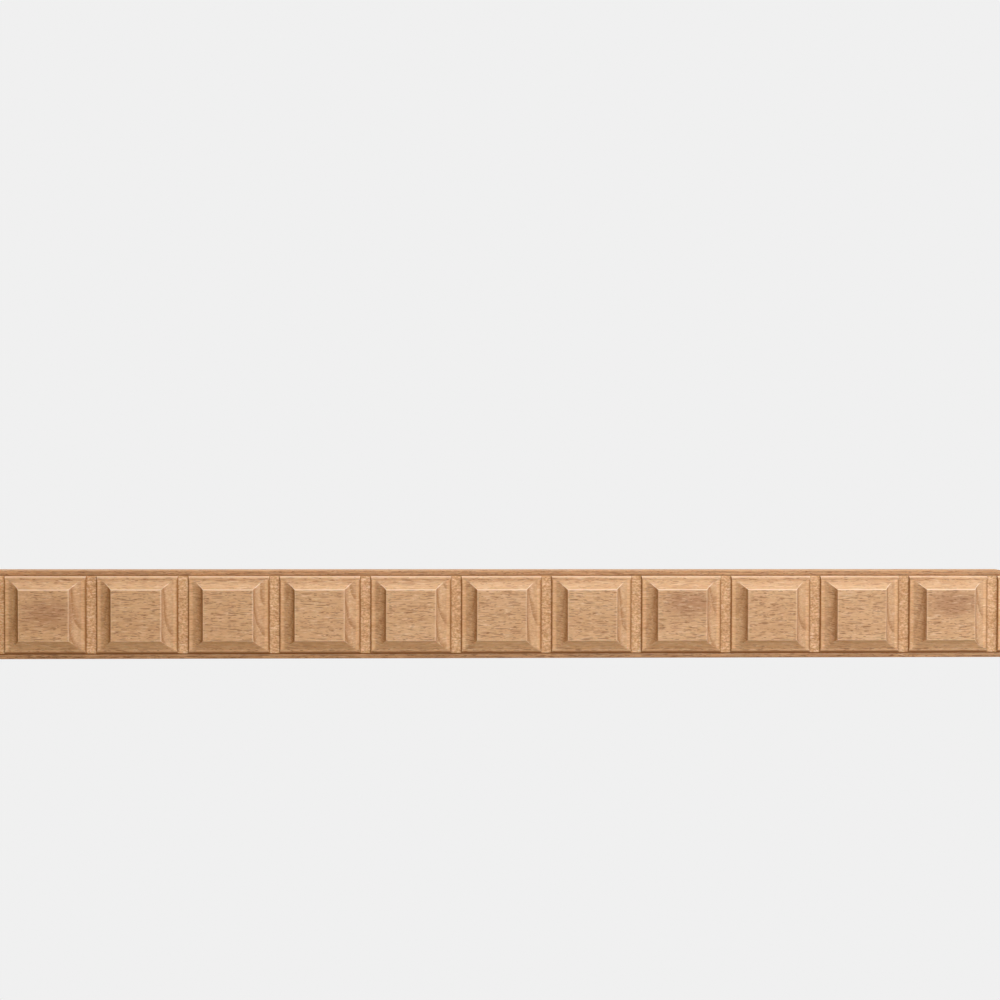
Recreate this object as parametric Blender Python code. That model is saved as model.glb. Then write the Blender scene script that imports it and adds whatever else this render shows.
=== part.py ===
"""Wooden wall moulding: a row of raised square blocks on a narrow board, with a shallow groove
between each two.

The back lies on the plane y = 0, against the wall. The carved side looks to -Y, the length runs
along X and the width along Z. The origin is the centre of the back.
"""

import math

import bmesh
import bpy
from mathutils import Vector

# Along the length, in metres
BLOCK_COUNT = 11
FACE_WIDTH = 0.0167  # flat top of one block
COVE_WIDTH = 0.0041  # hollow flank at each end of a block
COVE_TURNS = (math.radians(8), math.radians(75))  # how steep a cove is at its foot and at its top
LIP_WIDTH = 0.00105  # flat strip between a cove and the groove beside it
GROOVE_WIDTH = 0.0035  # floor of a groove
GROOVE_LEAN = 0.00015  # how far each groove wall leans outwards
END_LAND = 0.0014  # flat strip left outside the last groove, up to the sawn end

# Across the width
BOARD_WIDTH = 0.0300
RAIL_WIDTH = 0.0019  # plain strip along each long edge
BAND_EDGE_RADIUS = 0.0009  # rounded edge of the carved band
LEDGE_WIDTH = 0.0004  # flat strip between that rounded edge and a block's bevel
BEVEL_WIDTH = 0.00315  # hollow flank along each long side of a block
BEVEL_TURNS = (math.radians(22.5), math.radians(75))  # how steep it is at its foot and at its top

# Out from the wall
RAIL_THICKNESS = 0.0072  # back to the rails
GROOVE_RISE = 0.0003  # groove floor above the rails
GROOVE_DEPTH = 0.0009  # groove floor below the lips
BLOCK_HEIGHT = 0.0036  # top of a block above the lips

# Facets
FLANK_STEPS = 14
EDGE_STEPS = 6
OVERLAP = 0.0010  # how far a shape reaches into, or a cutter out of, the board

# Worked out from the sizes above
GROOVE_MOUTH = GROOVE_WIDTH + 2 * GROOVE_LEAN
FOOT_WIDTH = FACE_WIDTH + 2 * COVE_WIDTH
PITCH = FOOT_WIDTH + 2 * LIP_WIDTH + GROOVE_MOUTH
LENGTH = BLOCK_COUNT * PITCH + GROOVE_MOUTH + 2 * END_LAND
BAND_STEP = GROOVE_RISE + GROOVE_DEPTH
BAND_HEIGHT = BOARD_WIDTH - 2 * RAIL_WIDTH
FOOT_HEIGHT = BAND_HEIGHT - 2 * (BAND_EDGE_RADIUS + LEDGE_WIDTH)
FACE_HEIGHT = FOOT_HEIGHT - 2 * BEVEL_WIDTH
LIP_Y = -(RAIL_THICKNESS + BAND_STEP)

BEECH_COLOUR = (0.55, 0.32, 0.17, 1.0)


def remove_objects():
    for found in list(bpy.data.objects):
        bpy.data.objects.remove(found)


def object_from(name, bm):
    """A new object in the scene that holds the mesh in bm, with its faces turned outwards."""
    bmesh.ops.recalc_face_normals(bm, faces=bm.faces)
    mesh = bpy.data.meshes.new(name)
    bm.to_mesh(mesh)
    bm.free()
    made = bpy.data.objects.new(name, mesh)
    bpy.context.scene.collection.objects.link(made)
    return made


def add_prism(bm, outline, along):
    """Adds the closed prism that is drawn by pulling a flat outline along a vector."""
    face = bm.faces.new([bm.verts.new(point) for point in outline])
    pulled = bmesh.ops.extrude_face_region(bm, geom=[face], use_keep_orig=True)["geom"]
    moved = [part for part in pulled if isinstance(part, bmesh.types.BMVert)]
    bmesh.ops.translate(bm, verts=moved, vec=along)


def board_outline(x):
    """Section of the board at x: back, rails, and the band that stands up between them."""
    radius = min(BAND_EDGE_RADIUS, BAND_STEP)
    band_edge = BAND_HEIGHT / 2
    upper = [(BOARD_WIDTH / 2, 0.0), (BOARD_WIDTH / 2, -RAIL_THICKNESS)]
    upper.append((band_edge, -RAIL_THICKNESS))
    for step in range(EDGE_STEPS + 1):
        turn = math.pi / 2 * step / EDGE_STEPS
        z = band_edge - radius * (1 - math.cos(turn))
        upper.append((z, LIP_Y + radius * (1 - math.sin(turn))))
    lower = [(-z, y) for z, y in reversed(upper)]
    return [Vector((x, y, z)) for z, y in upper + lower]


def make_board():
    bm = bmesh.new()
    add_prism(bm, board_outline(-LENGTH / 2), Vector((LENGTH, 0.0, 0.0)))
    return object_from("board", bm)


def flank_run(share, width, turns):
    """How far in from its foot a hollow flank has come at this share of a block's height.

    The flank is an arc, as steep at its foot and at its top as the two turns say.
    """
    foot, top = turns
    turn = math.acos(math.cos(foot) - share * (math.cos(foot) - math.cos(top)))
    return width * (math.sin(turn) - math.sin(foot)) / (math.sin(top) - math.sin(foot))


def flank_shares():
    """Shares of a block's height, from foot to top, in even steps of the cove's turn."""
    foot, top = COVE_TURNS
    turns = [foot + (top - foot) * step / FLANK_STEPS for step in range(FLANK_STEPS + 1)]
    return [(math.cos(foot) - math.cos(turn)) / (math.cos(foot) - math.cos(top)) for turn in turns]


def add_ring(bm, centre_x, half_width, half_height, y):
    """A rectangle of edges that lies flat at y, round a block's centre."""
    corners = [(-1, -1), (1, -1), (1, 1), (-1, 1)]
    points = [(centre_x + sx * half_width, y, sz * half_height) for sx, sz in corners]
    verts = [bm.verts.new(point) for point in points]
    return [bm.edges.new((verts[i], verts[(i + 1) % 4])) for i in range(4)]


def add_block(bm, centre_x):
    """One block: rings that draw in up the coves and the bevels, so the mitres fall on the corners."""
    foot = (FOOT_WIDTH / 2, FOOT_HEIGHT / 2)
    rings = [add_ring(bm, centre_x, *foot, LIP_Y + OVERLAP)]
    for share in flank_shares():
        half_width = foot[0] - flank_run(share, COVE_WIDTH, COVE_TURNS)
        half_height = foot[1] - flank_run(share, BEVEL_WIDTH, BEVEL_TURNS)
        rings.append(add_ring(bm, centre_x, half_width, half_height, LIP_Y - share * BLOCK_HEIGHT))
    for below, above in zip(rings, rings[1:]):
        bmesh.ops.bridge_loops(bm, edges=below + above)
    for end in (rings[0], rings[-1]):
        bmesh.ops.edgeloop_fill(bm, edges=end)


def make_blocks():
    bm = bmesh.new()
    for number in range(BLOCK_COUNT):
        add_block(bm, (number - (BLOCK_COUNT - 1) / 2) * PITCH)
    return object_from("block_forms", bm)


def make_groove_cutters():
    """One bar for each groove, across the whole band and wider at its mouth than at its floor."""
    bm = bmesh.new()
    floor_y = LIP_Y + GROOVE_DEPTH
    mouth_y = LIP_Y - OVERLAP
    lean = GROOVE_LEAN * (GROOVE_DEPTH + OVERLAP) / GROOVE_DEPTH
    half_floor = GROOVE_WIDTH / 2
    end_z = BAND_HEIGHT / 2 + RAIL_WIDTH / 2
    for number in range(BLOCK_COUNT + 1):
        x = (number - BLOCK_COUNT / 2) * PITCH
        outline = [(-half_floor, floor_y), (half_floor, floor_y)]
        outline += [(half_floor + lean, mouth_y), (-half_floor - lean, mouth_y)]
        section = [Vector((x + across, y, -end_z)) for across, y in outline]
        add_prism(bm, section, Vector((0.0, 0.0, 2 * end_z)))
    return object_from("groove_cutters", bm)


def combine(target, other, operation):
    step = target.modifiers.new(other.name, "BOOLEAN")
    step.operation = operation
    step.solver = "EXACT"
    step.object = other
    other.hide_render = True
    other.display_type = "WIRE"


def beech():
    """Raw beech: pale brown, not glossy."""
    material = bpy.data.materials.new("beech")
    material.use_nodes = True
    shader = material.node_tree.nodes["Principled BSDF"]
    shader.inputs["Base Color"].default_value = BEECH_COLOUR
    shader.inputs["Roughness"].default_value = 0.62
    shader.inputs["Metallic"].default_value = 0.0
    return material


def make_moulding():
    """The one piece: the board with its blocks raised on it and its grooves cut."""
    board = make_board()
    combine(board, make_blocks(), "UNION")
    combine(board, make_groove_cutters(), "DIFFERENCE")
    view = bpy.context.evaluated_depsgraph_get()
    mesh = bpy.data.meshes.new_from_object(board.evaluated_get(view))
    mesh.name = "moulding"
    mesh.materials.clear()
    mesh.materials.append(beech())
    mesh.shade_smooth()
    mesh.set_sharp_from_angle(angle=math.radians(25))
    remove_objects()
    moulding = bpy.data.objects.new("moulding", mesh)
    bpy.context.scene.collection.objects.link(moulding)


def main():
    remove_objects()
    make_moulding()


main()
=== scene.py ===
"""The looks of the wall moulding: its machine-cut surface, raw beech, soft light and the camera.

One detailed piece stands for the one solid, with the same carving but softened edges, a slightly
uneven cut and torn fibres. Lengths are in millimetres unless a name ends in _M. A level is a
height above the lips of the grooves, out from the wall.
"""

import math

import bpy
import numpy as np
from mathutils import Matrix, Vector, noise


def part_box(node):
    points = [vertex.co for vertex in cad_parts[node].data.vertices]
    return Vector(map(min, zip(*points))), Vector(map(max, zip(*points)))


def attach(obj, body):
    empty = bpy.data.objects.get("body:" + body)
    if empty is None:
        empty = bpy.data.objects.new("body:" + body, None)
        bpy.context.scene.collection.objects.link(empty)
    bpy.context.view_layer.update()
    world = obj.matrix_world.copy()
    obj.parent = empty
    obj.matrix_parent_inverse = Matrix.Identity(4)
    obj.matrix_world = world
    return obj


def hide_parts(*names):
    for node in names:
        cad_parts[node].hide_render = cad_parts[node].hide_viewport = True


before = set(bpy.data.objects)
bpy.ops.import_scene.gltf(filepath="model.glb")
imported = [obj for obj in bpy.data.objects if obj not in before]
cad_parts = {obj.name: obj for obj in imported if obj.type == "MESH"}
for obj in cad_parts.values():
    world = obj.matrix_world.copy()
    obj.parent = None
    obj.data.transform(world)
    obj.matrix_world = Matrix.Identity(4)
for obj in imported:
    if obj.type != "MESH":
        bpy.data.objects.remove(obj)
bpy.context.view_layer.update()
MM = 0.001
NODE = "moulding"

# Along the length, as in the solid
BLOCK_COUNT = 11
FACE_WIDTH = 16.7
COVE_WIDTH = 4.1
COVE_TURNS = (math.radians(8), math.radians(75))  # how steep a cove is at its foot and at its top
LIP_WIDTH = 1.05
GROOVE_WIDTH = 3.5
GROOVE_LEAN = 0.15

# Across the width, as in the solid
RAIL_WIDTH = 1.9
BAND_EDGE_RADIUS = 0.9
LEDGE_WIDTH = 0.4
BEVEL_WIDTH = 3.15
BEVEL_TURNS = (math.radians(22.5), math.radians(75))  # how steep it is at its foot and at its top

# Out from the wall, as in the solid
GROOVE_RISE = 0.3
GROOVE_DEPTH = 0.9
BLOCK_HEIGHT = 3.6

# The whole board, from its solid in model.glb
LOW, HIGH = (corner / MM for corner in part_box(NODE))
HALF_LENGTH = (HIGH.x - LOW.x) / 2
HALF_WIDTH = (HIGH.z - LOW.z) / 2
THICKNESS = HIGH.y - LOW.y

# Worked out from the sizes above
GROOVE_MOUTH = GROOVE_WIDTH + 2 * GROOVE_LEAN
FOOT_WIDTH = FACE_WIDTH + 2 * COVE_WIDTH
PITCH = FOOT_WIDTH + 2 * LIP_WIDTH + GROOVE_MOUTH
BAND_STEP = GROOVE_RISE + GROOVE_DEPTH
LIP_OUT = THICKNESS - BLOCK_HEIGHT
RAIL_OUT = LIP_OUT - BAND_STEP
BAND_EDGE = HALF_WIDTH - RAIL_WIDTH
BEVEL_FOOT = BAND_EDGE - BAND_EDGE_RADIUS - LEDGE_WIDTH

# The fine notch where a rail meets the band, too small for the solid
QUIRK_WIDTH = 0.46
QUIRK_DEPTH = 0.20
QUIRK_SHAPE = ((2.5, 0.0), (1.2, 0.0), (1.0, 0.12), (0.65, 0.75), (0.4, 1.0), (0.15, 0.85),
               (0.0, 0.3))  # out from the band and down, as shares of that width and depth

# How soft the edges are
SOFT = 0.30  # length of outline over which a corner is rounded
MITRE_SOFT = 0.10  # difference in level within which two meeting surfaces are blended
SHARP_FROM = math.radians(60)  # an edge that turns further than this isn't shaded smooth
RAIL_CORNER = 0.25  # how far a rail's rounded outer corner reaches along both its sides
RAIL_CORNER_BEND = 0.08  # how far in from both sides the middle of that corner lies
BACK_CORNER = 0.12  # how far a corner of the back is cut off

# How finely the surface is divided
FINE = 0.01  # spacing of the points of a softened outline
ARC_POINTS = 80  # points of a hollow flank before it is softened
COVE_ROWS = 16
WALL_ROWS = 6
FACE_COLUMNS = 28
FACE_ROWS = 6
FIRST_RISE = 0.01  # level of the lowest row of points on a block
LAST_FALLS = (0.10, 0.05, 0.015)  # how far below a block's top its highest rows of points lie
NEXT_TO_EDGE = 0.35  # a row of points lies this far from an edge, where the edge's marks end
END_BAND = 0.02  # how far in from a sawn end the marks on the front begin

# Which wood is cut across the grain, torn or planed
ABOVE_RAIL = 0.01  # above the rails by more than this, it belongs to the band
BELOW_FACE = 0.02  # wood counts as cut across up to this far below a block's top
TORN_BELOW = 0.05  # further below the lips than this, it is torn in full
COVE_TEAR = 0.3  # how torn the coves and lips are, compared with the groove floors
PLANED_ABOVE = 0.2  # up to this far above the rails, it is planed as they are

# How strongly shade is painted in and beside the grooves, on their walls, floors and lips; on the
# walls it also stands for the darker cut end grain
WALL_SHADE = (0.8, 0.95)  # on a groove's right wall and on its left one
FLOOR_SHADE = 0.4  # on its floor, next to the walls
LIP_SHADE = ((0.5, 0.0), (0.80, 0.20))  # on its right and left lip, near the wall and further off
LIP_SHADE_REACH = 0.40  # how far from the wall that further place is

# How dark the painted shade is in the inner corners, on the band's lower edge and at the bevels' foot
CREVICE_REACH = 0.30  # how far round a point its height is compared, to find inner corners
COVE_SHADE = 0.6  # for the coves, compared with the rails' inner corners
UPPER_CREASE = 0.35  # for the upper rail's inner corner, compared with the lower one's
UNDER_EDGE = 0.01  # how far below the lips the band's lower edge starts to darken
UNDER_REACH = 0.12  # over how much further down it gets fully dark
HOLLOW_SHADE = 0.17  # for the bevels at their foot, and for the ledge above the blocks
HOLLOW_RISE = 1.5  # the level at which that has faded out

# How strong the painted highlight on the outer corners is; the same share makes them smoother
ARRIS_REACH = 0.20  # how far round a point its height is compared, to find outer corners
BAND_EDGE_WEIGHT = 0.42  # for the band's own edges, compared with the blocks' edges
EDGE_LEVEL = 0.5  # an edge below this level is the band's own
CUT_LEVEL = 1.0  # wood cut across below this level gets no painted highlight and no smoothing

# An inner or outer corner counts in full where the level changes by its reach divided by this
CORNER_FULL = 3

# How uneven the cut is: how far it moves the surface, and how long its waves are
CUT_WAVE = 0.012
CUT_LENGTHS = (9, 7)  # along x and z
TORN_WAVE = 0.024
TORN_LENGTHS = (0.6, 0.8, 0.8)  # along x, z and y
SIDE_WAVE = 0.045
SIDE_LENGTH = 0.9  # along z
SIDE_FULL = 1.0  # how far below the blocks' tops the sideways waves have their full size
CUT_PLACE, SIDE_PLACE = 3.0, 11.0  # where in the noise they are read, so that they differ
EDGE_ROWS = 2  # rows at each sawn end that stay as they are
FLAT_ABOVE = 0.05  # wood no higher above the rails than this stays as it is


def soften(points, reach):
    """The outline through these points as many close points, its corners rounded over reach."""
    points = np.array(points, float)
    steps = np.hypot(*np.diff(points, axis=0).T)
    along = np.concatenate([[0.0], np.cumsum(steps)])
    places = np.arange(0.0, along[-1], FINE)
    dense = [np.interp(places, along, points[:, axis]) for axis in (0, 1)]
    weights = np.hanning(int(reach / FINE) + 2)[1:-1]
    weights /= weights.sum()
    return [np.convolve(values, weights, "valid") for values in dense]


def run_at(outline, level):
    """Where a rising outline reaches a level."""
    runs, levels = outline
    return float(np.interp(level, levels, runs))


def flank_points(width, turns, before):
    """A block's hollow flank: flat before its foot, an arc between two steepnesses, flat on top."""
    foot, top = turns
    arc = []
    for turn in np.linspace(foot, top, ARC_POINTS):
        run = width * (math.sin(turn) - math.sin(foot)) / (math.sin(top) - math.sin(foot))
        share = (math.cos(foot) - math.cos(turn)) / (math.cos(foot) - math.cos(top))
        arc.append((run, share * BLOCK_HEIGHT))
    return [(-before, 0.0), *arc, (2 * width, BLOCK_HEIGHT)]


def groove_points():
    """Half a groove: its floor, its wall and the lip."""
    floor = [(0.0, -GROOVE_DEPTH), (GROOVE_WIDTH / 2, -GROOVE_DEPTH)]
    return [*floor, (GROOVE_MOUTH / 2, 0.0), (GROOVE_MOUTH / 2 + LIP_WIDTH, 0.0)]


def round_over_run(level):
    """How far in from the band's edge its rounded edge has reached this level."""
    drop = min(-level, BAND_EDGE_RADIUS)
    return BAND_EDGE_RADIUS - math.sqrt(BAND_EDGE_RADIUS**2 - (BAND_EDGE_RADIUS - drop) ** 2)


def rise_levels():
    """Levels above the lips at which both the coves and the bevels get a row of points."""
    foot, top = COVE_TURNS
    turns = np.linspace(foot, top, COVE_ROWS)[1:-1]
    rises = BLOCK_HEIGHT * (math.cos(foot) - np.cos(turns)) / (math.cos(foot) - math.cos(top))
    return [FIRST_RISE, *rises, *(BLOCK_HEIGHT - np.array(LAST_FALLS))]


def drop_levels():
    """Levels below the lips at which both groove walls and rounded edges get a row of points."""
    turns = np.linspace(0, math.pi, WALL_ROWS + 2)[1:-1]
    return [-GROOVE_DEPTH * (1 + math.cos(turn)) / 2 for turn in turns]


def half_groove():
    """(distance from the groove's middle, level) from its middle out onto the lip."""
    wall = soften(groove_points(), SOFT)
    floor_end = GROOVE_WIDTH / 2 - SOFT / 2
    rows = [(run, -GROOVE_DEPTH) for run in (0.0, floor_end / 2, floor_end - NEXT_TO_EDGE, floor_end)]
    rows += [(run_at(wall, level), level) for level in drop_levels()]
    return rows + [(GROOVE_MOUTH / 2 + reach, 0.0) for reach in (SOFT / 2, LIP_SHADE_REACH)]


def half_block():
    """(distance from the block's middle, level) from its foot up to the middle of its top."""
    cove = soften(flank_points(COVE_WIDTH, COVE_TURNS, LIP_WIDTH), SOFT)
    rows = [(FOOT_WIDTH / 2 + SOFT / 2, 0.0)]
    rows += [(FOOT_WIDTH / 2 - run_at(cove, level), level) for level in rise_levels()]
    top = FACE_WIDTH / 2 - SOFT / 2
    inner = np.linspace(top - NEXT_TO_EDGE, 0, FACE_ROWS // 2 + 1)
    return rows + [(run, BLOCK_HEIGHT) for run in (top, *inner)]


def mirrored(half):
    """A row of (distance, level) through the middle, from a half that ends at distance 0."""
    return [(-distance, level) for distance, level in half] + [
        (distance, level) for distance, level in reversed(half[:-1])
    ]


def stations():
    """(x, level) from end to end: where the section changes along the length."""
    groove = mirrored(list(reversed(half_groove())))
    block = mirrored(half_block())
    first = [(-HALF_LENGTH + inwards, 0.0) for inwards in (0.0, END_BAND, SOFT)]
    rows = first.copy()
    for number in range(BLOCK_COUNT + 1):
        middle = (number - BLOCK_COUNT / 2) * PITCH
        rows += [(middle + x, level) for x, level in groove]
        if number < BLOCK_COUNT:
            rows += [(middle + PITCH / 2 + x, level) for x, level in block]
    return rows + [(-x, level) for x, level in reversed(first)]


def half_section():
    """(z, level) from the outer corner of a rail to the middle of the width."""
    bevel = soften(flank_points(BEVEL_WIDTH, BEVEL_TURNS, LEDGE_WIDTH), SOFT)
    columns = [(HALF_WIDTH - RAIL_CORNER, -BAND_STEP)]
    for run, fall in QUIRK_SHAPE:
        columns.append((BAND_EDGE + run * QUIRK_WIDTH, -BAND_STEP - fall * QUIRK_DEPTH))
    columns += [(BAND_EDGE, -GROOVE_DEPTH)]
    columns += [(BAND_EDGE - round_over_run(level), level) for level in drop_levels()]
    columns += [(BAND_EDGE - BAND_EDGE_RADIUS, 0.0), (BEVEL_FOOT + SOFT / 2, 0.0)]
    columns += [(BEVEL_FOOT - run_at(bevel, level), level) for level in rise_levels()]
    top = BEVEL_FOOT - BEVEL_WIDTH - SOFT / 2
    inner = np.linspace(top - NEXT_TO_EDGE, 0, FACE_COLUMNS // 2 + 1)
    return columns + [(z, BLOCK_HEIGHT) for z in (top, *inner)]


def section():
    """(z, level) over the front, from the top rail to the bottom rail."""
    half = half_section()
    return half + [(-z, level) for z, level in reversed(half[:-1])]


def hidden_columns():
    """(z, out) round the back, from the bottom rail's corner to the top rail's corner."""
    side = [
        (HALF_WIDTH - BACK_CORNER, 0.0),
        (HALF_WIDTH, BACK_CORNER),
        (HALF_WIDTH, RAIL_OUT / 2),
        (HALF_WIDTH, RAIL_OUT - RAIL_CORNER),
        (HALF_WIDTH - RAIL_CORNER_BEND, RAIL_OUT - RAIL_CORNER_BEND),
    ]
    below = [(-z, out) for z, out in reversed(side)]
    return below + [(-HALF_WIDTH / 3, 0.0), (HALF_WIDTH / 3, 0.0)] + side


def lower_of(first, second):
    """The lower of two levels, blended where they meet, so that the mitres are not knife-sharp."""
    gap = np.clip(MITRE_SOFT - np.abs(first - second), 0, None)
    return np.minimum(first, second) - gap**2 / (4 * MITRE_SOFT)


def front_level(across, along):
    """The level over the front, from the stations' levels and the columns' levels."""
    return lower_of(across[:, None], along[None, :])


def rise_around(rows, columns, reach):
    """How much higher the front lies on average at this reach round each of its points."""
    x, across = rows
    z, along = columns
    around = 0
    for step in (-reach, reach):
        around = around + front_level(np.interp(x + step, x, across), along)
        around = around + front_level(across, np.interp(z + step, z[::-1], along[::-1]))
    return around / 4 - front_level(across, along)


def groove_shade_share(x):
    """How dark the painted shade is at each side of a groove, most at its left side."""
    from_groove = ((x / PITCH + BLOCK_COUNT / 2 + 0.5) % 1 - 0.5) * PITCH
    foot, mouth = GROOVE_WIDTH / 2, GROOVE_MOUTH / 2
    places = (foot - NEXT_TO_EDGE, foot - SOFT / 2, foot, mouth, mouth + SOFT / 2, mouth + LIP_SHADE_REACH,
              mouth + LIP_WIDTH - SOFT / 2)
    right, left = (
        np.interp(np.abs(from_groove), places, (0.0, FLOOR_SHADE, wall, wall, *lip, 0.0))
        for wall, lip in zip(WALL_SHADE, LIP_SHADE)
    )
    return np.where(from_groove < 0, left, right)


def crevice_shade_share(rows, columns, crossed):
    """How dark the painted shade is at each point: in inner corners, on the band's lower edge and on
    the bevels.
    """
    across = rows[1]
    z, along = columns
    rise = rise_around(rows, columns, CREVICE_REACH)
    inner = np.clip(rise / (CREVICE_REACH / CORNER_FULL), 0, 1)
    inner *= np.where(crossed, COVE_SHADE * (across > 0)[:, None], along < 0)
    inner[:, z > BAND_EDGE - SOFT] *= UPPER_CREASE
    under = np.clip((-along - UNDER_EDGE) / UNDER_REACH, 0, 1)
    under = under * (z < 0) * (along > -BAND_STEP + ABOVE_RAIL)
    on_bevel = (along > 0) | (z > 0) & (along == 0)
    hollow = HOLLOW_SHADE * np.clip(1 - along / HOLLOW_RISE, 0, 1) * on_bevel
    return np.maximum(inner, (under + hollow) * ~crossed)


def arris_share(rows, columns, crossed):
    """How strong the painted highlight is at each point, on the outer corners, where the surface is
    also smoother.
    """
    across, along = rows[1], columns[1]
    rise = rise_around(rows, columns, ARRIS_REACH)
    outer = np.clip(-rise / (ARRIS_REACH / CORNER_FULL), 0, 1)
    outer *= np.where(along < EDGE_LEVEL, BAND_EDGE_WEIGHT, 1)
    return outer * ~(crossed & (across < CUT_LEVEL)[:, None])


def front_shares(rows, columns):
    """Named shares from 0 to 1 per point of the front, which say how its wood was worked and where
    shade and highlights are painted.
    """
    x, across = rows
    along = columns[1]
    crossed = (across[:, None] < along) & (along > -BAND_STEP + ABOVE_RAIL)
    cross_cut = crossed & (across < BLOCK_HEIGHT - BELOW_FACE)[:, None]
    tearing = np.where(across < -TORN_BELOW, 1, COVE_TEAR)
    planed = np.broadcast_to(along < -BAND_STEP + PLANED_ABOVE, crossed.shape)
    return {
        "cross_cut": cross_cut.astype(float),
        "torn": cross_cut * tearing[:, None],
        "planed": planed.astype(float),
        # painted shade in and beside the grooves
        "groove_shade": groove_shade_share(x)[:, None] * crossed,
        # painted shade in inner corners, under the band and at the bevels' foot
        "crevice_shade": crevice_shade_share(rows, columns, crossed),
        # painted highlight on the outer corners, which also makes them smoother
        "arris": arris_share(rows, columns, crossed),
    }


def grid():
    """Points of the whole skin as an array [station, column, xyz], and named shares per point."""
    rows = np.array(stations()).T
    columns = np.array(section()).T
    hidden = np.array(hidden_columns())
    front = columns.shape[1]
    points = np.zeros((rows.shape[1], front + len(hidden), 3))
    points[:, :, 0] = rows[0][:, None]
    points[:, :front, 1] = -(LIP_OUT + front_level(rows[1], columns[1]))
    points[:, :front, 2] = columns[0]
    points[:, front:, 1] = -hidden[:, 1]
    points[:, front:, 2] = hidden[:, 0]
    shares = {}
    for name, share in front_shares(rows, columns).items():
        behind = float(name == "planed")
        shares[name] = np.pad(share, ((0, 0), (0, len(hidden))), constant_values=behind)
        shares[name][[0, -1]] = name == "cross_cut"
    return points, shares


def wave_at(*place):
    """A smooth random number from -1 to 1 for a place."""
    return noise.noise(Vector(place))


def roughen(points, torn):
    """Moves the front's points a little, as the cutter and the torn cross-grain fibres leave it."""
    inner = slice(EDGE_ROWS, -EDGE_ROWS)
    for line, shares in zip(points[inner], torn[inner]):
        for column, (x, y, z) in enumerate(line):
            if y > -RAIL_OUT - FLAT_ABOVE:
                continue
            wave = CUT_WAVE * wave_at(x / CUT_LENGTHS[0], z / CUT_LENGTHS[1], CUT_PLACE)
            if shares[column]:
                place = (value / length for value, length in zip((x, z, y), TORN_LENGTHS))
                wave += TORN_WAVE * shares[column] * wave_at(*place)
                half_pitches = round(x / PITCH * 2)
                sideways = SIDE_WAVE * wave_at(half_pitches, z / SIDE_LENGTH, SIDE_PLACE)
                line[column, 0] = x + sideways * min(1.0, (THICKNESS + y) / SIDE_FULL)
            line[column, 1] = min(max(y - wave, -THICKNESS), -RAIL_OUT)
    return points


def skin_faces(rows, columns, points):
    """Triangles round the skin, cut along the higher diagonal, so that mitres stay whole."""
    faces = []
    out = -points[:, :, 1]
    for row in range(rows - 1):
        for column in range(columns):
            after = (column + 1) % columns
            a, b = row * columns + column, (row + 1) * columns + column
            d, c = row * columns + after, (row + 1) * columns + after
            ridge = out[row, column] + out[row + 1, after]
            other = out[row + 1, column] + out[row, after]
            if ridge >= other:
                faces += [(a, b, c), (a, c, d)]
            else:
                faces += [(a, b, d), (b, c, d)]
    first_end = tuple(range(columns))
    last_end = tuple(reversed(range((rows - 1) * columns, rows * columns)))
    return faces + [first_end, last_end]


def make_moulding(material):
    """The one piece of the object, which stands for the solid of the same name."""
    points, shares = grid()
    points = roughen(points, shares["torn"])
    rows, columns = points.shape[:2]
    mesh = bpy.data.meshes.new("carved_moulding")
    mesh.from_pydata((points.reshape(-1, 3) * MM).tolist(), [], skin_faces(rows, columns, points))
    mesh.update()
    mesh.shade_smooth()
    mesh.set_sharp_from_angle(angle=SHARP_FROM)
    for name, share in shares.items():
        mesh.attributes.new(name, "FLOAT", "POINT").data.foreach_set("value", share.ravel())
    mesh.materials.append(material)
    piece = bpy.data.objects.new("carved_moulding", mesh)
    bpy.context.scene.collection.objects.link(piece)
    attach(piece, "root")
    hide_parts(NODE)


class Graph:
    """A material's nodes. Each method from add() on adds what it names and gives back its output."""

    def __init__(self, name):
        self.material = bpy.data.materials.new(name)
        self.material.use_nodes = True
        self.tree = self.material.node_tree
        self.shader = self.tree.nodes["Principled BSDF"]

    def put(self, socket, value):
        """Links a socket to another node's output, or sets it to a constant."""
        if isinstance(value, bpy.types.NodeSocket):
            self.tree.links.new(value, socket)
        else:
            socket.default_value = value

    def add(self, kind, inputs=None, output=0, **settings):
        node = self.tree.nodes.new(kind)
        for name, value in settings.items():
            setattr(node, name, value)
        for name, value in (inputs or {}).items():
            self.put(node.inputs[name], value)
        return node.outputs[output]

    def math(self, operation, first, second=0.0):
        return self.add("ShaderNodeMath", {0: first, 1: second}, operation=operation)

    def times(self, first, second):
        return self.math("MULTIPLY", first, second)

    def split(self, vector):
        """The three parts of a vector."""
        return self.add("ShaderNodeSeparateXYZ", {0: vector}).node.outputs[:]

    def scaled(self, x, y, z, sizes):
        """A vector whose unit is one grain of the given sizes along x, y and z."""
        parts = [self.math("DIVIDE", value, size) for value, size in zip((x, y, z), sizes)]
        return self.add("ShaderNodeCombineXYZ", dict(enumerate(parts)))

    def noise(self, vector, detail=2.0, roughness=0.5):
        inputs = {"Vector": vector, "Scale": 1.0, "Detail": detail, "Roughness": roughness}
        return self.add("ShaderNodeTexNoise", inputs)

    def fade(self, value, low, high, start=0.0, end=1.0):
        """Goes smoothly from start to end as value goes from low to high."""
        inputs = {0: value, 1: low, 2: high, 3: start, 4: end}
        return self.add("ShaderNodeMapRange", inputs, interpolation_type="SMOOTHSTEP")

    def mix(self, share, first, second, blend="MIX"):
        node = self.tree.nodes.new("ShaderNodeMix")
        node.data_type = "RGBA"
        node.blend_type = blend
        for index, value in ((0, share), (6, first), (7, second)):
            self.put(node.inputs[index], value)
        return node.outputs[2]


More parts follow.
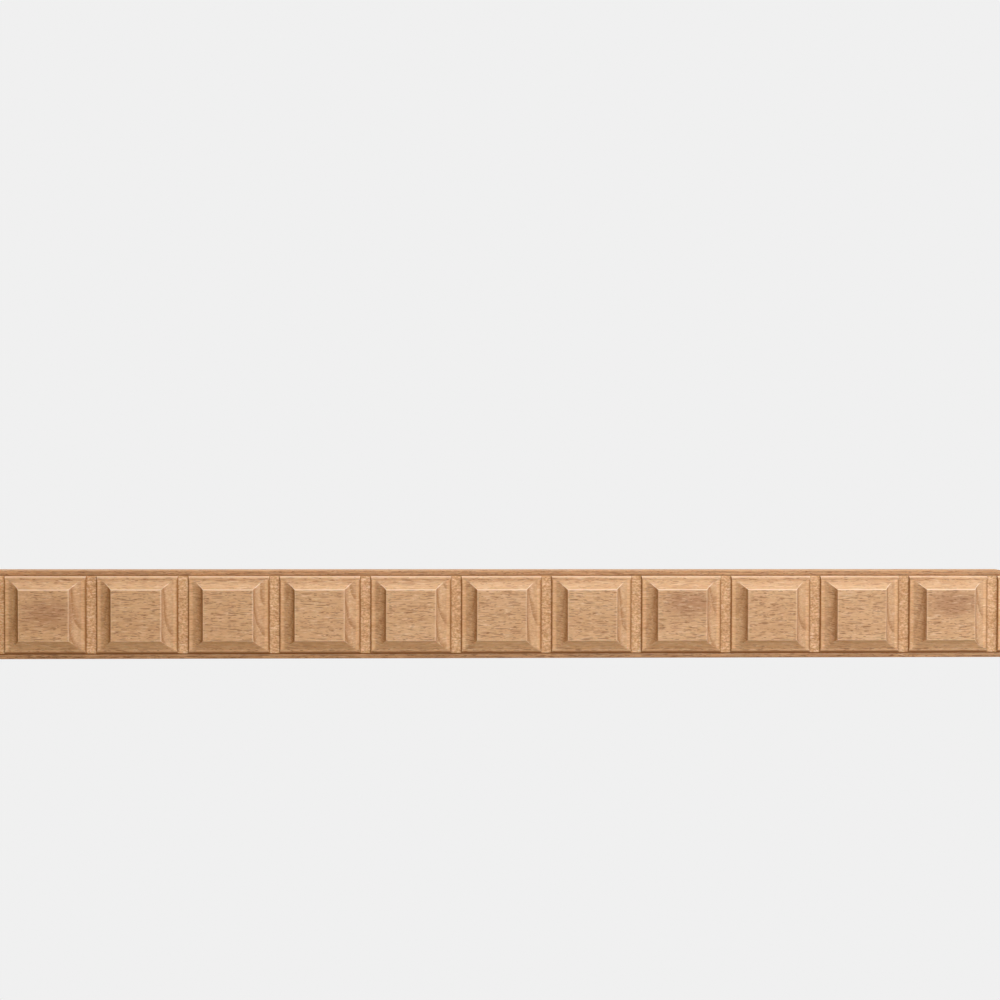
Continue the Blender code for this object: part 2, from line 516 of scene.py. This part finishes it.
# The middle of the tree lies behind the board and a little above it, so the rings lie nearly flat
PITH_Y = 63.0
PITH_Z = 17.0
RING_SPACING = 3.0
DRIFT = 6.0  # how far the rings wander in and out
DRIFT_GRAIN = (55, 25, 25)
WEAVE = 0.30  # how far the fibres wander round the tree
WEAVE_GRAIN = (16, 6, 6)


class Wood(Graph):
    """A graph that knows where a point lies in the tree, which way it faces and how it was cut."""

    def __init__(self, name):
        super().__init__(name)
        place = self.add("ShaderNodeTexCoord", output="Object")
        in_mm = self.add("ShaderNodeVectorMath", {0: place, "Scale": 1 / MM}, operation="SCALE")
        self.x, self.y, self.z = self.split(in_mm)
        normal = self.add("ShaderNodeTexCoord", output="Normal")
        self.rightwards, _, self.upwards = self.split(normal)
        self.sideways = self.math("ABSOLUTE", self.rightwards)
        self.radius, self.around = self.place_in_tree()

    def in_board(self, sizes):
        """A vector for patterns that follow the board: along x, y and z."""
        return self.scaled(self.x, self.y, self.z, sizes)

    def in_tree(self, sizes):
        """A vector for patterns that follow the tree: along the grain, round it and outwards."""
        return self.scaled(self.x, self.around, self.radius, sizes)

    def wander(self, sizes, most):
        """A slow change to both sides of zero."""
        return self.times(self.math("SUBTRACT", self.noise(self.in_board(sizes)), 0.5), most)

    def place_in_tree(self):
        """Distance from the tree's middle and distance round it, both a little uneven."""
        from_pith_y = self.math("SUBTRACT", PITH_Y, self.y)
        from_pith_z = self.math("SUBTRACT", self.z, PITH_Z)
        squares = (self.times(part, part) for part in (from_pith_y, from_pith_z))
        distance = self.math("SQRT", self.math("ADD", *squares))
        turn = self.math("ARCTAN2", from_pith_z, from_pith_y)
        radius = self.math("ADD", distance, self.wander(DRIFT_GRAIN, DRIFT))
        around = self.math("ADD", self.times(turn, PITH_Y), self.wander(WEAVE_GRAIN, WEAVE))
        return radius, around

    def share(self, name):
        """One of the shares that the mesh holds for each point."""
        return self.add("ShaderNodeAttribute", output="Fac", attribute_name=name)


# Raw beech, as the share of light that it reflects
BEECH_LIGHT = (0.675, 0.427, 0.235, 1.0)
BEECH_DEEP = (0.615, 0.363, 0.189, 1.0)
BEECH_PINK = (0.610, 0.352, 0.200, 1.0)
RED_HEART = (0.465, 0.250, 0.132, 1.0)
RING_EDGE = (0.420, 0.215, 0.090, 1.0)
FLECK = (0.225, 0.095, 0.032, 1.0)
PALE_FIBRE = (0.830, 0.610, 0.410, 1.0)
END_GRAIN = (0.300, 0.140, 0.055, 1.0)
# Painted shade in and beside the grooves, and in the inner corners, under the band and at the bevels'
# foot
GROOVE_SHADE_COLOUR = (0.260, 0.112, 0.026, 1.0)
CREVICE_SHADE_COLOUR = (0.260, 0.088, 0.008, 1.0)
# Painted highlight on the outer corners
EDGE_HIGHLIGHT = (0.930, 0.720, 0.530, 1.0)

# Tints that multiply the wood's own colours
PLANED_DARK = (0.660, 0.590, 0.525, 1.0)
PLANED_PALE = (0.910, 0.825, 0.745, 1.0)
TORN_DARK = (0.810, 0.725, 0.620, 1.0)
TORN_PALE = (1.138, 1.220, 1.350, 1.0)

# Grain sizes of the patterns that follow the tree
BAND_GRAIN = (40, 5.0, 3.0)
BLUSH_GRAIN = (26, 8, 6)
STREAK_GRAIN = (3.6, 0.40, 0.8)
FIBRE_GRAIN = (3.0, 0.16, 0.16)

# Grain sizes of the patterns that follow the board
PLANED_GRAIN = (22, 0.4, 0.4)
SPECKLE_GRAIN = (0.75, 0.80, 0.45)

# Ramps for fade(): from which value, to which value, and what it gives there if not 0 and 1
BAND_RAMP = (0.18, 0.82)
BLUSH_RAMP = (0.52, 0.72, 0.0, 0.25)
LATE_RISE = (0.55, 0.90)
LATE_FALL = (0.93, 1.0, 1.0, 0.0)
RINGS_BY_CUT = (0.05, 0.40, 0.20, 0.80)  # clearer where the surface faces along the grain
RINGS_BY_SIDE = (-0.2, 0.1, 0.5, 1.0)  # and clearer to the right than to the left
DARK_STREAKS = (0.48, 0.26, 0.0, 0.27)
PALE_STREAKS = (0.52, 0.72, 0.0, 0.58)
STEEP_RAMP = (0.55, 0.99, 0.0, 0.40)
PLANED_RAMP = (0.35, 0.65)
TEAR_RAMP = (0.36, 0.66)
HIGHLIGHT_BY_SLOPE = (0.1, 0.4, 0.28, 0.85)  # the painted highlight is strongest on upper edges, which face the light from above
ROUGHNESS_RAMP = (0.3, 0.7, 0.66, 0.54)

# Ray flecks
FLECK_LAYERS = (((5.0, 0.28, 12.0), 0.82), ((3.0, 0.25, 9.0), 0.84), ((1.5, 0.23, 7.0), 0.88))
FLECK_REACH = (0.20, 0.50)  # how far the smallest and the largest fleck reach in their cells
FLECK_EDGE = (0.6, 1.0, 1.0, 0.0)
FLECK_CHANCE = (0.15, 0.95)
FLECKS_BY_SLOPE = (0.2, 1.0, 0.93, 0.30)  # fainter where the surface faces up or down
FLECKS_CUT_OFF = (-0.3, 0.0, 0.30, 0.65)  # hidden in part where it is cut across, more to the right

# Soft patches of redder wood: (x, z) of the middle of each
HEART_PATCHES = ((-152.0, 1.0), (64.0, 4.0), (155.0, 4.0))
HEART_REACH = (14.0, 7.0)  # along x and z
HEART_EDGE = (0.2, 1.0, 1.0, 0.0)
HEART_DEPTH = 6.0  # how far below the blocks' tops the patches have faded out
HEART_STRENGTH = 0.80

# How strongly the painted shade and the marks of working show
GROOVE_SHADE_STRENGTH = 0.92
CREVICE_SHADE_STRENGTH = 0.93
LIP_GLOW = 0.16  # how much brighter the lips and grooves are than the coves
LIP_GLOW_LEVELS = (0.12, 0.02)  # the levels between which that sets in

# How the surface takes the light
CUT_ROUGHER = 0.12  # how much rougher wood cut across is
ARRIS_SMOOTHER = 0.28  # how much smoother the outer corners are
SPECULAR = 0.25
SUBSURFACE = 0.30
SUBSURFACE_REACH = (1.0, 0.45, 0.20)  # how deep red, green and blue light go
FIBRE_HEIGHT = 0.6
TEAR_HEIGHT = 0.4
BUMP_STRENGTH = 0.6
BUMP_M = 0.00008


def fleck_layer(w, cell, depth):
    """Ray flecks of one size: thin ribbons, short along the grain and deep towards the pith."""
    node = w.tree.nodes.new("ShaderNodeTexVoronoi")
    w.put(node.inputs["Vector"], w.in_tree(cell))
    node.inputs["Scale"].default_value = 1.0
    chances = w.add("ShaderNodeSeparateColor", {0: node.outputs["Color"]}).node.outputs
    reach = w.fade(chances[0], 0.0, 1.0, *FLECK_REACH)
    inside = w.fade(w.math("DIVIDE", node.outputs["Distance"], reach), *FLECK_EDGE)
    return w.times(w.times(inside, w.fade(chances[1], *FLECK_CHANCE)), depth)


def fleck_share(w):
    """How much of a fleck's colour a point has."""
    dark = 0.0
    for cell, depth in FLECK_LAYERS:
        dark = w.math("MAXIMUM", dark, fleck_layer(w, cell, depth))
    shown = w.fade(w.math("ABSOLUTE", w.upwards), *FLECKS_BY_SLOPE)
    cut_off = w.times(w.share("cross_cut"), w.fade(w.rightwards, *FLECKS_CUT_OFF))
    return w.times(dark, w.times(shown, w.math("SUBTRACT", 1.0, cut_off)))


def ring_share(w):
    """The dark late edge of each growth ring."""
    ring = w.math("FRACT", w.math("DIVIDE", w.radius, RING_SPACING))
    late = w.times(w.fade(ring, *LATE_RISE), w.fade(ring, *LATE_FALL))
    late = w.times(late, w.fade(w.sideways, *RINGS_BY_CUT))
    return w.times(late, w.fade(w.rightwards, *RINGS_BY_SIDE))


def heart_share(w):
    """How much of the red heart's colour a point has: most in the middle of each patch."""
    share = 0.0
    for patch_x, patch_z in HEART_PATCHES:
        along, up = w.math("SUBTRACT", w.x, patch_x), w.math("SUBTRACT", w.z, patch_z)
        shift = w.scaled(along, 0.0, up, (HEART_REACH[0], 1.0, HEART_REACH[1]))
        away = w.add("ShaderNodeVectorMath", {0: shift}, output="Value", operation="LENGTH")
        share = w.math("MAXIMUM", share, w.fade(away, *HEART_EDGE))
    share = w.times(share, w.fade(w.y, -THICKNESS, HEART_DEPTH - THICKNESS, 1.0, 0.0))
    return w.times(share, HEART_STRENGTH)


def grown_colour(w, streaks, flecks):
    """The wood's colour as it grew."""
    bands = w.noise(w.in_tree(BAND_GRAIN))
    blush = w.noise(w.in_tree(BLUSH_GRAIN))
    colour = w.mix(w.fade(bands, *BAND_RAMP), BEECH_DEEP, BEECH_LIGHT)
    colour = w.mix(w.fade(blush, *BLUSH_RAMP), colour, BEECH_PINK)
    colour = w.mix(heart_share(w), colour, RED_HEART)
    colour = w.mix(ring_share(w), colour, RING_EDGE)
    colour = w.mix(w.fade(streaks, *DARK_STREAKS), colour, FLECK)
    colour = w.mix(w.fade(streaks, *PALE_STREAKS), colour, PALE_FIBRE)
    colour = w.mix(flecks, colour, FLECK)
    return w.mix(w.fade(w.sideways, *STEEP_RAMP), colour, END_GRAIN)


def worked_colour(w, colour, tear):
    """The colour after planing and cutting, with painted shade in grooves and inner corners and a
    painted highlight on outer corners.
    """
    lines = w.fade(w.noise(w.in_board(PLANED_GRAIN), roughness=0.6), *PLANED_RAMP)
    tint = w.mix(lines, PLANED_DARK, PLANED_PALE)
    colour = w.mix(w.share("planed"), colour, tint, "MULTIPLY")
    # Painted shade in and beside the grooves
    colour = w.mix(w.times(w.share("groove_shade"), GROOVE_SHADE_STRENGTH), colour, GROOVE_SHADE_COLOUR)
    # Painted shade in inner corners, under the band and at the bevels' foot
    colour = w.mix(w.times(w.share("crevice_shade"), CREVICE_SHADE_STRENGTH), colour, CREVICE_SHADE_COLOUR)
    # Painted highlight on the outer corners, strongest on upper edges
    colour = w.mix(w.times(w.share("arris"), w.fade(w.upwards, *HIGHLIGHT_BY_SLOPE)), colour, EDGE_HIGHLIGHT)
    colour = w.mix(w.share("torn"), colour, w.mix(tear, TORN_DARK, TORN_PALE), "MULTIPLY")
    glow_at = (-LIP_OUT - level for level in LIP_GLOW_LEVELS)
    glow = w.times(w.fade(w.y, *glow_at, 0.0, LIP_GLOW), w.share("cross_cut"))
    brighter = {"Value": w.math("ADD", glow, 1.0), "Color": colour}
    return w.add("ShaderNodeHueSaturation", brighter)


def surface_bump(w, flecks, tear):
    """Fine fibres, flecks that lie a little lower, and torn fibres that stand up."""
    fibre = w.noise(w.in_tree(FIBRE_GRAIN), roughness=0.6)
    height = w.math("SUBTRACT", w.times(fibre, FIBRE_HEIGHT), flecks)
    height = w.math("ADD", height, w.times(w.times(tear, w.share("torn")), TEAR_HEIGHT))
    inputs = {"Strength": BUMP_STRENGTH, "Distance": BUMP_M, "Height": height}
    return w.add("ShaderNodeBump", inputs)


def beech():
    """Raw beech with rings, streaks and ray flecks in depth, and rougher, torn cross-cut wood."""
    w = Wood("beech")
    streaks = w.noise(w.in_tree(STREAK_GRAIN), detail=3.0, roughness=0.64)
    tear = w.fade(w.noise(w.in_board(SPECKLE_GRAIN), roughness=0.6), *TEAR_RAMP)
    flecks = fleck_share(w)
    shader = w.shader.inputs
    w.put(shader["Base Color"], worked_colour(w, grown_colour(w, streaks, flecks), tear))
    rougher = w.times(w.share("cross_cut"), CUT_ROUGHER)
    smoother = w.times(w.share("arris"), ARRIS_SMOOTHER)
    roughness = w.math("ADD", w.fade(streaks, *ROUGHNESS_RAMP), rougher)
    w.put(shader["Roughness"], w.math("SUBTRACT", roughness, smoother))
    w.put(shader["Specular IOR Level"], SPECULAR)
    w.put(shader["Subsurface Weight"], SUBSURFACE)
    w.put(shader["Subsurface Radius"], SUBSURFACE_REACH)
    w.put(shader["Subsurface Scale"], MM)
    w.put(shader["Normal"], surface_bump(w, flecks, tear))
    return w.material


# Where the photograph was taken from, and how much of the scene it takes in
CAMERA_AT = Vector((-30.5, -667.5, 54.6))
CAMERA_YAW = math.radians(2.598)
CAMERA_PITCH = math.radians(-1.351)
CAMERA_ROLL = math.radians(0.145)
SENSOR_MM = 36.0
FOCAL_PIXELS = 1940.0
IMAGE_PIXELS = 1000.0


def make_camera():
    data = bpy.data.cameras.new("camera")
    data.sensor_width = SENSOR_MM
    data.lens = FOCAL_PIXELS / IMAGE_PIXELS * SENSOR_MM
    camera = bpy.data.objects.new("camera", data)
    bpy.context.scene.collection.objects.link(camera)
    ahead = Vector((math.sin(CAMERA_YAW) * math.cos(CAMERA_PITCH),
                    math.cos(CAMERA_YAW) * math.cos(CAMERA_PITCH), math.sin(CAMERA_PITCH)))
    right = Vector((math.cos(CAMERA_YAW), -math.sin(CAMERA_YAW), 0.0))
    right = Matrix.Rotation(-CAMERA_ROLL, 3, ahead) @ right
    up = right.cross(ahead)
    turn = Matrix((right, up, -ahead)).transposed().to_4x4()
    camera.matrix_world = Matrix.Translation(CAMERA_AT * MM) @ turn
    bpy.context.scene.camera = camera


BACKDROP_GREY = 0.871  # the photograph's plain grey, as linear light
AMBIENT = (0.328, 0.228, 0.100)
COOL = (0.93, 1.0, 1.10)
COOL_ABOVE = (0.91, 1.0, 1.15)
COOL_RIGHT = (0.87, 1.0, 1.22)

# Each light's place and size in metres, its power in watts and its colour
LIGHTS = {
    "top_softbox": ((0.10, -0.15, 0.60), (0.7, 0.3), 3.25, COOL_ABOVE),
    "back_softbox": ((0.0, 0.45, 0.45), (0.8, 0.3), 1.85, COOL_ABOVE),
    "right_softbox": ((0.65, -0.20, 0.05), (0.3, 0.5), 1.5, COOL_RIGHT),
    "right_front_softbox": ((0.60, -0.55, 0.10), (0.4, 0.5), 0.45, COOL),
    "front_lamp": ((0.13, -0.68, 0.074), (0.37, 0.3), 2.2, COOL),
}


def make_surround():
    """A plain world: pale grey for the camera, and a warmer and dimmer light on the wood."""
    world = bpy.data.worlds.new("surround")
    bpy.context.scene.world = world
    world.use_nodes = True
    nodes, links = world.node_tree.nodes, world.node_tree.links
    shown = nodes["Background"]
    shown.inputs["Color"].default_value = (BACKDROP_GREY,) * 3 + (1.0,)
    lit = nodes.new("ShaderNodeBackground")
    lit.inputs["Color"].default_value = AMBIENT + (1.0,)
    seen = nodes.new("ShaderNodeLightPath")
    either = nodes.new("ShaderNodeMixShader")
    links.new(seen.outputs["Is Camera Ray"], either.inputs[0])
    links.new(lit.outputs[0], either.inputs[1])
    links.new(shown.outputs[0], either.inputs[2])
    links.new(either.outputs[0], nodes["World Output"].inputs["Surface"])


def add_light(name, place_m, size_m, watts, colour):
    """A soft rectangular light that looks at the middle of the moulding and isn't seen itself."""
    data = bpy.data.lights.new(name, "AREA")
    data.shape = "RECTANGLE"
    data.size, data.size_y = size_m
    data.energy = watts
    data.color = colour
    light = bpy.data.objects.new(name, data)
    bpy.context.scene.collection.objects.link(light)
    light.location = place_m
    light.rotation_euler = (-Vector(place_m)).to_track_quat("-Z", "Y").to_euler()
    light.visible_camera = False


def make_lights():
    """Soft lights above, behind and to the right, and one in front."""
    for name, light in LIGHTS.items():
        add_light(name, *light)


FLOOR_DROP_M = 0.75
FLOOR_RADIUS_M = 0.6
FLOOR_SIDES = 96
FLOOR_COLOUR = (0.86, 0.82, 0.75, 1.0)
FLOOR_ROUGHNESS = 0.8


def make_floor():
    """A plain pale round floor, well below the moulding."""
    turns = [2 * math.pi * side / FLOOR_SIDES for side in range(FLOOR_SIDES)]
    ring = [(FLOOR_RADIUS_M * math.cos(t), FLOOR_RADIUS_M * math.sin(t), -FLOOR_DROP_M) for t in turns]
    mesh = bpy.data.meshes.new("floor")
    mesh.from_pydata(ring, [], [tuple(range(FLOOR_SIDES))])
    g = Graph("floor_paint")
    g.put(g.shader.inputs["Base Color"], FLOOR_COLOUR)
    g.put(g.shader.inputs["Roughness"], FLOOR_ROUGHNESS)
    mesh.materials.append(g.material)
    floor = bpy.data.objects.new("floor", mesh)
    bpy.context.scene.collection.objects.link(floor)


def main():
    bpy.context.scene.view_settings.view_transform = "Standard"
    make_camera()
    make_surround()
    make_lights()
    make_floor()
    make_moulding(beech())


main()
